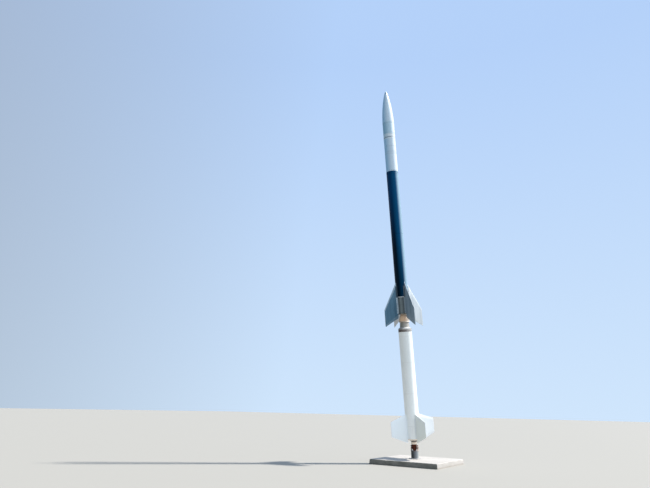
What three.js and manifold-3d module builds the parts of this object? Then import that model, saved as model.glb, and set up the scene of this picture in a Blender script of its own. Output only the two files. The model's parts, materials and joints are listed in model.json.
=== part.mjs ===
// Two-stage sounding rocket on its display stand: a finned booster below, a finned motor with
// payload sections and a pointed nose above, leaning forward over a square concrete plinth.
// Millimetres, +Z up. The origin is the middle of the plinth's underside, X and Y run along
// the plinth's sides, and the rocket leans towards -Y.
import * as THREE from 'three';
import { ConvexGeometry } from 'three/addons/geometries/ConvexGeometry.js';
import { mergeVertices } from 'three/addons/utils/BufferGeometryUtils.js';
import Module from 'manifold-3d';

const wasm = await Module();
wasm.setup();

// Stand
const plinthSide = 2330;
const plinthThick = 155;
const plinthChamfer = 12;
const postX = -65;
const postY = -30;
const postRadius = 121;
const plateSide = 330;
const plateThick = 14;
const capRadius = 126;
const capThick = 16;
const postTop = 250;
const pivotHeight = 270;
const lean = THREE.MathUtils.degToRad(7.46);

// Clevis on the post that holds the rocket's tail stub
const earInner = 100;
const earThick = 16;
const earWidth = 104;
const earHeight = 185;
const pinRadius = 20;
const pinStation = 75;
const boltRadius = 12;
const boltStation = 146;
const pinHeadRadius = 33;
const boltHeadRadius = 20;
const headThick = 14;
const sleeveRadius = 34;
const stubFootRadius = 55;
const stubTopRadius = 85;

// Rocket radii
const boosterRadius = 228.5;
const motorRadius = 213.8;
const mountRingRadius = 94;
const mountRingLedge = 4;
const boosterNozzleRadius = 125;

// Stations along the rocket's axis, from the point where it meets the post's axis
const stubFoot = -8;
const stubTop = 197;
const ringTop = 263;
const boosterAft = 342;
const aftSkirtTop = 766;
const headBandFoot = 3878;
const shoulderFoot = 3963;
const shoulderRim = 3997;
const neckFoot = 4045;
const neckTop = 4190;
const bellExit = 4212;
const lipTop = 4246;
const tailCanFoot = 4496;
const tailRingFoot = 5074;
const motorFoot = 5092;
const motorBandFoot = 9607;
const payloadFoot = 9703;
const payloadMidFoot = 10420;
const payloadBandFoot = 11009;
const payloadForeFoot = 11168;
const noseFoot = 11646;
const noseTipFoot = 12830;
const noseTop = 12970;

// Joints between sections that pull apart along the axis
const spigotRadius = 190;
const spigotHeight = 60;
const socketRadius = 191.5;
const socketDepth = 66;

// Recesses at the two tails, where the nozzles come out
const boosterRecess = { radius: 205, depth: 60 };
const motorRecess = { radius: 198, depth: 60 };

// Nozzle of the upper motor and the cone of the adapter that it sits on
const bellRimRadius = 175;
const bellExitInner = 150;
const bellWaist = { radius: 177, station: 4395 };
const bellNeckRadius = 106;
const bellNeckFoot = 4475;
const seatTop = 4300;
const seatTaper = 0.1125;
const seatClear = 8;
const throatRadius = 48;
const throatStation = 4440;
const throatFlare = { radius: 96, below: 26 };
const throatDepth = 12;
const lipRadius = 185;
const bellRound = 4;

// Adapter between the stages
const shoulderTopRadius = 165;
const neckTopRadius = 158;

// Bulge of the nose's curve: 0 for the least drag, more for a blunter nose
const noseFullness = 0.28;

// Bent angles that hold each fin's root: width of the foot on the body, height up the blade
const angleFoot = 40;
const angleHeight = 46;
const angleThick = 6;

const finCount = 4;
const finAngle = THREE.MathUtils.degToRad(54);
const gap = 0.3;
const facets = 60;
const fineFacets = 32;
const noseRings = 14;
const tipRings = 6;
const bellRings = 7;
const earArcs = 16;

const finishes = {
  concrete: { color: 0xcfc8c0, roughness: 0.9, metalness: 0.0 },
  postPaint: { color: 0x62666c, roughness: 0.6, metalness: 0.1 },
  earPaint: { color: 0xd8cdc2, roughness: 0.6, metalness: 0.1 },
  rust: { color: 0x5a2a19, roughness: 0.9, metalness: 0.2 },
  creamPaint: { color: 0xe8d9c4, roughness: 0.5, metalness: 0.1 },
  darkRecess: { color: 0x4a443c, roughness: 0.8, metalness: 0.2 },
  whitePaint: { color: 0xeef1f2, roughness: 0.35, metalness: 0.0 },
  darkBand: { color: 0x4b4745, roughness: 0.6, metalness: 0.3 },
  greyPaint: { color: 0xc4c6c6, roughness: 0.45, metalness: 0.1 },
  bareMetal: { color: 0x8b959c, roughness: 0.4, metalness: 0.9 },
  brightMetal: { color: 0xd5dadc, roughness: 0.25, metalness: 0.9 },
  nozzleTan: { color: 0xb98a62, roughness: 0.6, metalness: 0.3 },
  blackPaint: { color: 0x101a2a, roughness: 0.3, metalness: 0.2 },
  payloadPaint: { color: 0xc3cdd4, roughness: 0.35, metalness: 0.2 },
  tipMetal: { color: 0x59606a, roughness: 0.4, metalness: 0.7 },
};

// Leaves one closed skin: shared corners merged, and no triangle that has collapsed to a line.
function closedSkin(geometry) {
  geometry.deleteAttribute('normal');
  geometry.deleteAttribute('uv');
  const merged = mergeVertices(geometry, 1e-3);
  const index = merged.getIndex().array;
  const kept = [];
  for (let i = 0; i < index.length; i += 3) {
    const [a, b, c] = [index[i], index[i + 1], index[i + 2]];
    if (a !== b && b !== c && c !== a) kept.push(a, b, c);
  }
  merged.setIndex(kept);
  return merged;
}

// Turns a profile of [radius, station] points about the Z axis.
function revolve(profile, count = facets) {
  const points = profile.map(([radius, station]) => new THREE.Vector2(radius, station));
  const lathe = new THREE.LatheGeometry(points, count);
  lathe.rotateX(Math.PI / 2);
  return closedSkin(lathe);
}

function rodAlongX(radius, from, to) {
  const rod = new THREE.CylinderGeometry(radius, radius, to - from, fineFacets);
  rod.rotateZ(-Math.PI / 2);
  rod.translate((from + to) / 2, 0, 0);
  return closedSkin(rod);
}

function toSolid(geometry) {
  const skin = closedSkin(geometry.clone());
  const vertProperties = new Float32Array(skin.getAttribute('position').array);
  const triVerts = new Uint32Array(skin.getIndex().array);
  return new wasm.Manifold(new wasm.Mesh({ numProp: 3, vertProperties, triVerts }));
}

function fromSolid(solid) {
  const mesh = solid.getMesh();
  const geometry = new THREE.BufferGeometry();
  geometry.setAttribute('position', new THREE.BufferAttribute(new Float32Array(mesh.vertProperties), 3));
  geometry.setIndex(Array.from(mesh.triVerts));
  return geometry;
}

function addPiece(group, name, geometry, finish) {
  const piece = new THREE.Mesh(geometry, new THREE.MeshStandardMaterial(finishes[finish]));
  piece.name = name;
  group.add(piece);
  return piece;
}

// One length of the rocket's body. A socket is a blind bore in its foot, a spigot stands on its top.
function bodySection({ foot, top, radius, socket, spigot }) {
  const upper = top - gap;
  const start = socket
    ? [[0, foot + socket.depth], [socket.radius, foot + socket.depth], [socket.radius, foot]]
    : [[0, foot]];
  const end = spigot
    ? [[spigot.radius, upper], [spigot.radius, top + spigot.height], [0, top + spigot.height]]
    : [[0, upper]];
  return revolve([...start, [radius, foot], [radius, upper], ...end]);
}

// Radius of the nose at a distance behind its point, on a Haack curve.
function noseRadius(behindTip) {
  const theta = Math.acos(1 - 2 * behindTip / (noseTop - noseFoot));
  const area = theta - Math.sin(2 * theta) / 2 + noseFullness * Math.sin(theta) ** 3;
  return motorRadius * Math.sqrt(area / Math.PI);
}

// Points of the nose curve between two stations, from the lower one up.
function noseCurve(from, to, count) {
  const points = [];
  for (let i = 0; i <= count; i += 1) {
    const station = from + (to - from) * i / count;
    points.push([Math.max(noseRadius(noseTop - station), 0), station]);
  }
  return points;
}

// One fin standing on the body's side along +X, with flat faces and bevelled front and rear edges.
// root and tip give the stations of the front and rear corners and the thickness there.
function finBlade({ innerRadius, tipRadius, root, tip, bevel, edge }) {
  const corners = [];
  for (const [radius, chord] of [[innerRadius + gap, root], [tipRadius, tip]]) {
    const slope = bevel * (chord.front - chord.rear);
    const outline = [
      [chord.front, edge / 2],
      [chord.front - slope, chord.thick / 2],
      [chord.rear + slope, chord.thick / 2],
      [chord.rear, edge / 2],
    ];
    for (const [station, half] of outline) {
      corners.push(new THREE.Vector3(radius, half, station));
      corners.push(new THREE.Vector3(radius, -half, station));
    }
  }
  return closedSkin(new ConvexGeometry(corners));
}

// A box between two corners, each given as [x, y, z].
function boxBetween(low, high) {
  const size = high.map((value, i) => value - low[i]);
  const box = new THREE.BoxGeometry(...size);
  box.translate(...low.map((value, i) => value + size[i] / 2));
  return toSolid(box);
}

// The angles along a fin's root: feet that hug the body, and legs up both faces of the blade.
function rootAngles({ innerRadius, root, angles }) {
  const { foot, top } = angles;
  const inner = innerRadius + gap;
  const outer = inner + angleThick;
  const half = root.thick / 2;
  const ring = toSolid(revolve([[inner, foot], [outer, foot], [outer, top], [inner, top], [inner, foot]]));
  const feet = ring.intersect(boxBetween([0, -half - angleFoot, foot], [outer, half + angleFoot, top]));
  const legs = boxBetween([inner, -half - angleThick, foot], [inner + angleHeight, half + angleThick, top]);
  return feet.add(legs);
}

function addFins(group, prefix, shape, finish) {
  for (let i = 0; i < finCount; i += 1) {
    const blade = fromSolid(toSolid(finBlade(shape)).add(rootAngles(shape)));
    const fin = addPiece(group, `${prefix}_${i + 1}`, blade, finish);
    fin.rotation.z = finAngle + i * 2 * Math.PI / finCount;
  }
}

const rocketAndStand = new THREE.Group();

// Plinth: a square slab with its top edges chamfered
function plinthSlab() {
  const corners = [];
  const levels = [
    [plinthSide / 2, 0],
    [plinthSide / 2, plinthThick - plinthChamfer],
    [plinthSide / 2 - plinthChamfer, plinthThick],
  ];
  for (const [half, height] of levels) {
    for (const [sx, sy] of [[1, 1], [-1, 1], [-1, -1], [1, -1]]) {
      corners.push(new THREE.Vector3(sx * half, sy * half, height));
    }
  }
  return closedSkin(new ConvexGeometry(corners));
}
addPiece(rocketAndStand, 'plinth', plinthSlab(), 'concrete');

// Post on its base plate, with a cap plate
const stand = new THREE.Group();
stand.position.set(postX, postY, plinthThick);
rocketAndStand.add(stand);
const basePlate = closedSkin(new THREE.BoxGeometry(plateSide, plateSide, plateThick));
addPiece(stand, 'base_plate', basePlate, 'postPaint').position.z = plateThick / 2 + gap;
const capFoot = postTop - capThick;
const postFoot = plateThick + 2 * gap;
const postTube = revolve([[0, postFoot], [postRadius, postFoot], [postRadius, capFoot - gap], [0, capFoot - gap]]);
addPiece(stand, 'post', postTube, 'postPaint');
const postCap = revolve([[0, capFoot], [capRadius, capFoot], [capRadius, postTop], [0, postTop]]);
addPiece(stand, 'post_cap', postCap, 'postPaint');

// Where a station of the leaning axis lies in the stand's own frame
function onAxis(station) {
  return { y: -station * Math.sin(lean), z: pivotHeight + station * Math.cos(lean) };
}

// Two ears that stand on the cap, with a pin hole and a bolt hole through each
function clevisEar() {
  const outline = new THREE.Shape();
  const half = earWidth / 2;
  const foot = postTop + gap;
  const shoulder = foot + earHeight - half;
  outline.moveTo(-half, foot);
  outline.lineTo(half, foot);
  outline.lineTo(half, shoulder);
  outline.absarc(0, shoulder, half, 0, Math.PI, false);
  outline.lineTo(-half, foot);
  for (const [station, radius] of [[pinStation, pinRadius], [boltStation, boltRadius]]) {
    const centre = onAxis(station);
    const hole = new THREE.Path();
    hole.absarc(centre.y, centre.z, radius + gap, 0, 2 * Math.PI, true);
    outline.holes.push(hole);
  }
  const options = { depth: earThick, bevelEnabled: false, curveSegments: earArcs };
  const ear = new THREE.ExtrudeGeometry(outline, options);
  // Shape x becomes Y, shape y becomes Z and the depth becomes X.
  ear.applyMatrix4(new THREE.Matrix4().makeBasis(
    new THREE.Vector3(0, 1, 0),
    new THREE.Vector3(0, 0, 1),
    new THREE.Vector3(1, 0, 0),
  ));
  return closedSkin(ear);
}
for (const [name, left] of [['clevis_ear_1', -earInner - earThick], ['clevis_ear_2', earInner]]) {
  addPiece(stand, name, clevisEar(), 'earPaint').position.x = left;
}

// Headed pin and locking bolt through both ears and the stub
function headedPin(radius, headRadius) {
  const outer = earInner + earThick;
  const shaft = toSolid(rodAlongX(radius, -outer - gap, outer + headThick));
  const heads = [
    rodAlongX(headRadius, -outer - headThick, -outer - gap),
    rodAlongX(headRadius, outer + gap, outer + headThick),
  ];
  return fromSolid(heads.reduce((pin, head) => pin.add(toSolid(head)), shaft));
}
const pins = [
  ['clevis_pin', pinStation, pinRadius, pinHeadRadius],
  ['locking_bolt', boltStation, boltRadius, boltHeadRadius],
];
for (const [name, station, radius, headRadius] of pins) {
  const centre = onAxis(station);
  addPiece(stand, name, headedPin(radius, headRadius), 'rust').position.set(0, centre.y, centre.z);
}

// Everything from here up lies on the leaning axis
const rocket = new THREE.Group();
rocket.position.set(0, 0, pivotHeight);
rocket.rotation.x = lean;
stand.add(rocket);

// Tapered stub with a cross sleeve for the pin
function tailStub() {
  const cone = toSolid(revolve([
    [0, stubFoot],
    [stubFootRadius, stubFoot],
    [stubTopRadius, stubTop - gap],
    [0, stubTop - gap],
  ], fineFacets));
  const across = (radius, reach, station) => {
    const rod = rodAlongX(radius, -reach, reach);
    rod.translate(0, 0, station);
    return toSolid(rod);
  };
  const sleeve = across(sleeveRadius, earInner - gap, pinStation);
  const bores = across(pinRadius + gap, earInner * 2, pinStation)
    .add(across(boltRadius + gap, earInner * 2, boltStation));
  return fromSolid(cone.add(sleeve).subtract(bores));
}
addPiece(rocket, 'tail_stub', tailStub(), 'rust');

// Booster tail: ring, nozzle, and skirt with a recess round the nozzle
const mountRing = bodySection({ foot: stubTop, top: ringTop, radius: mountRingRadius });
addPiece(rocket, 'mount_ring', mountRing, 'creamPaint');
const recessCeiling = boosterAft + boosterRecess.depth - gap;
const boosterNozzle = revolve([
  [0, ringTop],
  [mountRingRadius - mountRingLedge, ringTop],
  [boosterNozzleRadius, boosterAft],
  [boosterNozzleRadius, recessCeiling],
  [0, recessCeiling],
]);
addPiece(rocket, 'booster_nozzle', boosterNozzle, 'darkRecess');

// Plain lengths of both stages. Columns: name, foot, top, radius, finish, socket, spigot.
const slipSocket = { radius: socketRadius, depth: socketDepth };
const slipSpigot = { radius: spigotRadius, height: spigotHeight };
const lengths = [
  ['booster_aft_skirt', boosterAft, aftSkirtTop, boosterRadius, 'whitePaint', boosterRecess, null],
  ['booster_case', aftSkirtTop, headBandFoot, boosterRadius, 'whitePaint', null, null],
  ['booster_head_band', headBandFoot, shoulderFoot, boosterRadius, 'darkBand', null, null],
  ['tail_can', tailCanFoot, tailRingFoot, motorRadius, 'bareMetal', motorRecess, null],
  ['tail_ring', tailRingFoot, motorFoot, motorRadius, 'brightMetal', null, null],
  ['motor_case', motorFoot, motorBandFoot, motorRadius, 'blackPaint', null, null],
  ['motor_head_band', motorBandFoot, payloadFoot, motorRadius, 'blackPaint', null, slipSpigot],
  ['payload_aft', payloadFoot, payloadMidFoot, motorRadius, 'payloadPaint', slipSocket, null],
  ['payload_mid', payloadMidFoot, payloadBandFoot, motorRadius, 'payloadPaint', null, null],
  ['payload_band', payloadBandFoot, payloadForeFoot, motorRadius, 'payloadPaint', null, null],
  ['payload_fore', payloadForeFoot, noseFoot, motorRadius, 'payloadPaint', null, slipSpigot],
];
for (const [name, foot, top, radius, finish, socket, spigot] of lengths) {
  addPiece(rocket, name, bodySection({ foot, top, radius, socket, spigot }), finish);
}

// Adapter on the booster's head: a shoulder, then a neck whose cone seats in the nozzle above
const shoulder = revolve([
  [0, shoulderFoot],
  [boosterRadius, shoulderFoot],
  [boosterRadius, shoulderRim],
  [shoulderTopRadius, neckFoot - gap],
  [0, neckFoot - gap],
]);
addPiece(rocket, 'adapter_shoulder', shoulder, 'greyPaint');
const seatRadius = (station) => bellExitInner - (station - bellExit) * seatTaper;
const neck = revolve([
  [0, neckFoot],
  [shoulderTopRadius, neckFoot],
  [neckTopRadius, neckTop],
  [seatRadius(bellExit) - gap, neckTop],
  [seatRadius(bellExit) - gap, bellExit],
  [seatRadius(seatTop) - gap, seatTop],
  [0, seatTop],
]);
addPiece(rocket, 'adapter_neck', neck, 'greyPaint');

// Nozzle of the upper motor: a bell, open below, that reaches up into the tail can
function nozzleBell() {
  const inside = new THREE.QuadraticBezierCurve(
    new THREE.Vector2(throatRadius, throatStation),
    new THREE.Vector2(throatFlare.radius, throatStation - throatFlare.below),
    new THREE.Vector2(seatRadius(seatTop + seatClear), seatTop + seatClear),
  ).getPoints(bellRings);
  const outside = new THREE.QuadraticBezierCurve(
    new THREE.Vector2(bellRimRadius - bellRound / 2, lipTop + bellRound),
    new THREE.Vector2(bellWaist.radius, bellWaist.station),
    new THREE.Vector2(bellNeckRadius + bellRound, bellNeckFoot),
  ).getPoints(bellRings);
  const ceiling = tailCanFoot + motorRecess.depth - gap;
  return revolve([
    [0, throatStation + throatDepth],
    ...inside.map((point) => [point.x, point.y]),
    [bellExitInner, bellExit],
    [bellRimRadius, bellExit],
    [bellRimRadius, lipTop],
    ...outside.map((point) => [point.x, point.y]),
    [bellNeckRadius, tailCanFoot],
    [bellNeckRadius, ceiling],
    [0, ceiling],
  ]);
}
addPiece(rocket, 'nozzle_bell', nozzleBell(), 'nozzleTan');
const lipInner = bellRimRadius + gap;
const lip = revolve([
  [lipInner, bellExit],
  [lipRadius, bellExit],
  [lipRadius, lipTop],
  [lipInner, lipTop],
  [lipInner, bellExit],
]);
addPiece(rocket, 'nozzle_lip', lip, 'creamPaint');

// Nose: an ogive that slips over the payload's spigot, and a metal tip
const ogive = revolve([
  [0, noseFoot + socketDepth],
  [socketRadius, noseFoot + socketDepth],
  [socketRadius, noseFoot],
  ...noseCurve(noseFoot, noseTipFoot - gap, noseRings),
  [0, noseTipFoot - gap],
]);
addPiece(rocket, 'nose_ogive', ogive, 'payloadPaint');
const tip = revolve([[0, noseTipFoot], ...noseCurve(noseTipFoot, noseTop, tipRings)], fineFacets);
addPiece(rocket, 'nose_tip', tip, 'tipMetal');

// Fins. root, tip and angles give stations along the axis, and thick is the blade's thickness there.
addFins(rocket, 'booster_fin', {
  innerRadius: boosterRadius,
  tipRadius: 813,
  root: { front: 1160, rear: 248, thick: 34 },
  tip: { front: 960, rear: 490, thick: 20 },
  bevel: 0.12,
  edge: 8,
  angles: { foot: 386, top: 1030 },
}, 'whitePaint');
addFins(rocket, 'upper_fin', {
  innerRadius: motorRadius,
  tipRadius: 736,
  root: { front: 5610, rear: 4356, thick: 30 },
  tip: { front: 4657, rear: 4073, thick: 14 },
  bevel: 0.1,
  edge: 6,
  angles: { foot: 4520, top: 5470 },
}, 'bareMetal');

export default rocketAndStand;
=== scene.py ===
import bpy
import bmesh
import json
from math import acos, asin, atan2, copysign, cos, exp, hypot, inf, pi, radians, remainder, sin, sqrt, tau
from mathutils import Matrix, Vector, noise


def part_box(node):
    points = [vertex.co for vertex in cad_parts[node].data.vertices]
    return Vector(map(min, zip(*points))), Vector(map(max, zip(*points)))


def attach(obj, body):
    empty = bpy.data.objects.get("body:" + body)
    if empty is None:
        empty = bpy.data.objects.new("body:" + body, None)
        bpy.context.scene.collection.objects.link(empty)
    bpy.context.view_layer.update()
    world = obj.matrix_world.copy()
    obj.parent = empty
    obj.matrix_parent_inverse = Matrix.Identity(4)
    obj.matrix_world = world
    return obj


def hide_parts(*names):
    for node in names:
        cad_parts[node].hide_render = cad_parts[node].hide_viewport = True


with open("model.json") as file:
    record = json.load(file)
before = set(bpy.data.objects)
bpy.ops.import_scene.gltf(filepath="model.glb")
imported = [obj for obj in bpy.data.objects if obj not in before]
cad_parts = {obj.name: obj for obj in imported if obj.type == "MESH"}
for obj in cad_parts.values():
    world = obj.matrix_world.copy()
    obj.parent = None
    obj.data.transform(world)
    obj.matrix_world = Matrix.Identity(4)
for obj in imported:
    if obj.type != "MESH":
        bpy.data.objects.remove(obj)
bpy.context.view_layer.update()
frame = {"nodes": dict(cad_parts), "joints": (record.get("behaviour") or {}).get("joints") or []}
print("frame loaded, nodes:", len(frame["nodes"]))

# The camera stands where the photograph was taken, found from the plinth's corners and both stages' edges.
photo = {
    "width": 650, "focalPixels": 519.14, "sensor": 36.0, "clipEnd": 500, "spot": (7.599, -17.151, 1.627),
    "azimuth": 33.703, "tilt": 17.757, "roll": -1.2143,
}


def linkNew(name, data):
    holder = bpy.data.objects.new(name, data)
    bpy.context.scene.collection.objects.link(holder)
    return holder


def placeCamera(view):
    turn, tilt, roll = (radians(view[key]) for key in ("azimuth", "tilt", "roll"))
    ahead = Vector((-sin(turn), cos(turn), 0))
    side = Vector((cos(turn), sin(turn), 0))
    up = Vector((0, 0, 1))
    forward = cos(tilt) * ahead + sin(tilt) * up
    above = cos(tilt) * up - sin(tilt) * ahead
    right = cos(roll) * side - sin(roll) * above
    top = sin(roll) * side + cos(roll) * above
    lens = bpy.data.cameras.new("photoCamera")
    lens.sensor_width = view["sensor"]
    lens.lens = view["focalPixels"] * view["sensor"] / view["width"]
    lens.clip_end = view["clipEnd"]
    camera = linkNew("photoCamera", lens)
    turned = Matrix((right, top, -forward)).transposed().to_4x4()
    camera.matrix_world = Matrix.Translation(view["spot"]) @ turned
    bpy.context.scene.camera = camera


placeCamera(photo)

# Shader helpers, for the sky and for the finishes

# Links a socket's value in, or sets it. A colour is given without its alpha.
def feed(socket, value):
    if isinstance(value, bpy.types.NodeSocket):
        socket.id_data.links.new(value, socket)
    else:
        socket.default_value = (*value, 1) if socket.type == "RGBA" else value


# Adds a node and gives its output. Without a tree it goes to the one that its linked inputs are in.
def addNode(kind, output, inputs, tree=None, **settings):
    if tree is None:
        tree = next(value.id_data for value in inputs.values() if isinstance(value, bpy.types.NodeSocket))
    node = tree.nodes.new("ShaderNode" + kind)
    for setting, value in settings.items():
        setattr(node, setting, value)
    for socket, value in inputs.items():
        feed(node.inputs[socket], value)
    return node.outputs[output]


def remap(value, fromLow, fromHigh, low=0.0, high=1.0):
    return addNode("MapRange", "Result", {
        "Value": value, "From Min": fromLow, "From Max": fromHigh, "To Min": low, "To Max": high})


def combine(how, first, second):
    return addNode("Math", "Value", {0: first, 1: second}, operation=how)


def times(first, second):
    return combine("MULTIPLY", first, second)


def plus(first, second):
    return combine("ADD", first, second)


# Lays colours over a tone, each as strongly as its amount says.
def layered(tone, *coats):
    for amount, colour in coats:
        tone = addNode("Mix", 2, {"Factor": amount, 6: tone, 7: colour}, data_type="RGBA")
    return tone


def heightOf(vector):
    return addNode("SeparateXYZ", "Z", {"Vector": vector})


def towards(vector, direction):
    return addNode("VectorMath", "Value", {0: vector, 1: direction}, operation="DOT_PRODUCT")


# The sun's direction comes from the shadow that the rocket's foot casts across the plinth.
# Lights: azimuth from +X towards +Y and height in degrees, strength, angle, colour.
studio = {
    "keySun": (37.4, 52.5, 6.6, 3.0, (1.0, 0.965, 0.92)),
    "softFill": (-12, 12, 1.0, 80, (0.94, 0.98, 1.0)),
    "dusk": (-142, 6),              # the side that the soft light is weakest on
    "skyHigh": (0.46, 0.64, 0.95), "skyLow": (0.63, 0.79, 0.98), "skyDusk": (0.32, 0.37, 0.44),
    "floorSize": 400, "floorColour": (0.315, 0.3, 0.265), "floorRoughness": 0.9,
}


def fromAzimuth(azimuth, height=0.0):
    turn, rise = radians(azimuth), radians(height)
    return Vector((cos(turn) * cos(rise), sin(turn) * cos(rise), sin(rise)))


def addSun(name, azimuth, height, strength, angle, colour):
    sun = bpy.data.lights.new(name, "SUN")
    sun.energy = strength
    sun.angle = radians(angle)
    sun.color = colour
    turned = fromAzimuth(azimuth, height).to_track_quat("Z", "Y")
    linkNew(name, sun).matrix_world = turned.to_matrix().to_4x4()


def lightStage(values):
    for name in ("keySun", "softFill"):
        addSun(name, *values[name])
    world = bpy.data.worlds.new("studioSky")
    world.use_nodes = True
    tree = world.node_tree
    around = addNode("TexCoord", "Generated", {}, tree)
    rise = remap(heightOf(around), 0, 0.6)
    dusk = remap(towards(around, fromAzimuth(*values["dusk"])), 0, 0.95)
    sky = layered(values["skyLow"], (rise, values["skyHigh"]), (dusk, values["skyDusk"]))
    feed(tree.nodes["Background"].inputs["Color"], sky)
    bpy.context.scene.world = world


bpy.context.scene.view_settings.view_transform = "Standard"
lightStage(studio)
print("camera and lights placed")

# The rocket's own axis: from the post's middle, a little above the plinth, along the joints' direction.
# Pieces of the rocket are made upright on that axis, with stations as heights, and then leaned.
pivotAbovePlinth = 0.27


def moved(x, y, z):
    return Matrix.Translation((x, y, z))


def rotated(angle, axis):
    return Matrix.Rotation(angle, 4, axis)


postLow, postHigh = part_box("post")
postRadius = (postHigh.x - postLow.x) / 2
standFoot = Vector(((postLow.x + postHigh.x) / 2, (postLow.y + postHigh.y) / 2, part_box("plinth")[1].z))
along = Vector(frame["joints"][0]["axis"]).normalized()
axisLean = atan2(-along.y, along.z)
axisPivot = standFoot + Vector((0, 0, pivotAbovePlinth))
toAxis = moved(*axisPivot) @ rotated(axisLean, "X")
fromAxis = toAxis.inverted()


def pointsOf(node):
    return [fromAxis @ v.co for v in frame["nodes"][node].data.vertices]


def radiiBetween(points, low, high=inf):
    return [hypot(p.x, p.y) for p in points if low < p.z < high]


# Foot, top and largest radius of a CAD node along the axis.
def spanOf(node):
    points = pointsOf(node)
    heights = [p.z for p in points]
    return min(heights), max(heights), max(radiiBetween(points, -inf))


# Materials. Patterns lie on object coordinates, which here are the scene's own metres.
finishes = {}


def newMaterial(name):
    material = bpy.data.materials.new(name)
    material.use_nodes = True
    return material


# Starts a finish and gives its coordinates, turned so that Z runs along the rocket from its axis's foot.
def startFinish(name, slot, upright=True):
    material = newMaterial(name)
    finishes[name] = (material, slot)
    tree = material.node_tree
    source = addNode("TexCoord", "Object", {}, tree)
    if upright:
        pose = {"Vector": source, "Location": axisPivot, "Rotation": (axisLean, 0, 0)}
        source = addNode("Mapping", "Vector", pose, vector_type="TEXTURE")
    return tree, source


def stretch(source, scale):
    return addNode("Mapping", "Vector", {"Vector": source, "Scale": scale})


def noiseField(vector, scale, detail=5, rough=0.55, distortion=0.0):
    return addNode("TexNoise", "Fac", {
        "Vector": vector, "Scale": scale, "Detail": detail, "Roughness": rough, "Distortion": distortion})


def cellField(vector, scale, feature="F1"):
    return addNode("TexVoronoi", "Distance", {"Vector": vector, "Scale": scale}, feature=feature)


# How far a face looks towards an azimuth: 0 up to the low cosine, 1 from the high one.
def facing(tree, azimuth, low, high):
    normal = addNode("NewGeometry", "Normal", {}, tree)
    return remap(towards(normal, fromAzimuth(azimuth)), low, high)


# A number that the modelling leaves on the faces: "wear" on edges, "seam" in joint lines.
def faceMark(tree, name, amount):
    return times(addNode("Attribute", "Fac", {}, tree, attribute_name=name), amount)


def wornPlaces(tree, vector, amount):
    broken = remap(noiseField(vector, 34, 6, 0.65), 0.38, 0.58, 0.25, 1)
    return times(faceMark(tree, "wear", broken), amount)


# Dirt that rain has drawn down the body: long streaks, stronger for a stretch below each named joint.
def rainRuns(vector, strength, joints, jointRuns):
    fine = noiseField(stretch(vector, (38, 38, 0.55)), 1.3, 6, 0.6)
    broad = noiseField(stretch(vector, (11, 11, 0.35)), 1.1, 4, 0.55)
    runs = times(remap(fine, 0.46, 0.72), remap(broad, 0.38, 0.62, 0.25, 1))
    height = heightOf(vector)
    for station, reach in joints:
        near = times(remap(height, station - reach, station),
                     remap(height, station, station + 0.004, 1, 0))
        strength = plus(strength, times(near, jointRuns))
    return times(runs, strength)


def setShader(tree, inputs):
    for socket, value in inputs.items():
        feed(tree.nodes["Principled BSDF"].inputs[socket], value)


def finishShader(tree, inputs, height, strength, distance):
    bump = {"Height": height, "Strength": strength, "Distance": distance}
    setShader(tree, {**inputs, "Normal": addNode("Bump", "Normal", bump)})


def glossOf(field, gloss):
    return remap(field, 0.3, 0.7, gloss * 0.85, gloss * 1.2)


# Weathered paint: faint clouds, rain runs, sparse specks, rubbed edges, dirty joint lines, and painted
# light and shade laid by the faces' direction and along the rocket.
def paintFinish(name, slot, base, second, grime, bare, seam, runs, specks, wear, gloss, cloudScale=1.7,
                mottle=0.12, foot=(), joints=(), jointRuns=0, sides=(), shine=0.5, shineTint=(1, 1, 1)):
    tree, even = startFinish(name, slot)
    height = heightOf(even)
    cloud = noiseField(even, cloudScale, 4, 0.5)
    tone = layered(base, (remap(cloud, 0.35, 0.65), second))
    # A colour that comes in towards the foot: painted light on some paints, painted shade on others.
    for low, high, colour in foot:
        tone = layered(tone, (remap(height, low, high, 1, 0), colour))
    patches = noiseField(even, 24, 6, 0.6)
    tone = layered(
        tone, (remap(patches, 0.45, 0.75, 0, mottle), grime),
        (rainRuns(even, runs, joints, jointRuns), grime),
        (remap(noiseField(even, 115, 3, 0.6), 0.69, 0.74, 0, specks), grime),
    )
    # Painted light and shade: a tone on the faces that look towards each listed azimuth.
    for azimuth, low, high, colour, *fade in sides:
        side = facing(tree, azimuth, low, high)
        if fade:
            side = times(side, remap(height, *fade))
        tone = layered(tone, (side, colour))
    chips = wornPlaces(tree, even, wear)
    waves = plus(noiseField(even, 5, 2, 0.4), times(noiseField(even, 210, 2, 0.5), 0.35))
    finishShader(tree, {
        "Base Color": layered(tone, (chips, bare), (faceMark(tree, "seam", 0.8), seam)),
        "Roughness": plus(glossOf(patches, gloss), times(chips, 0.25)),
        "Specular IOR Level": shine, "Specular Tint": shineTint,
    }, combine("SUBTRACT", waves, times(chips, 0.5)), 0.1, 0.0012)
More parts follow.
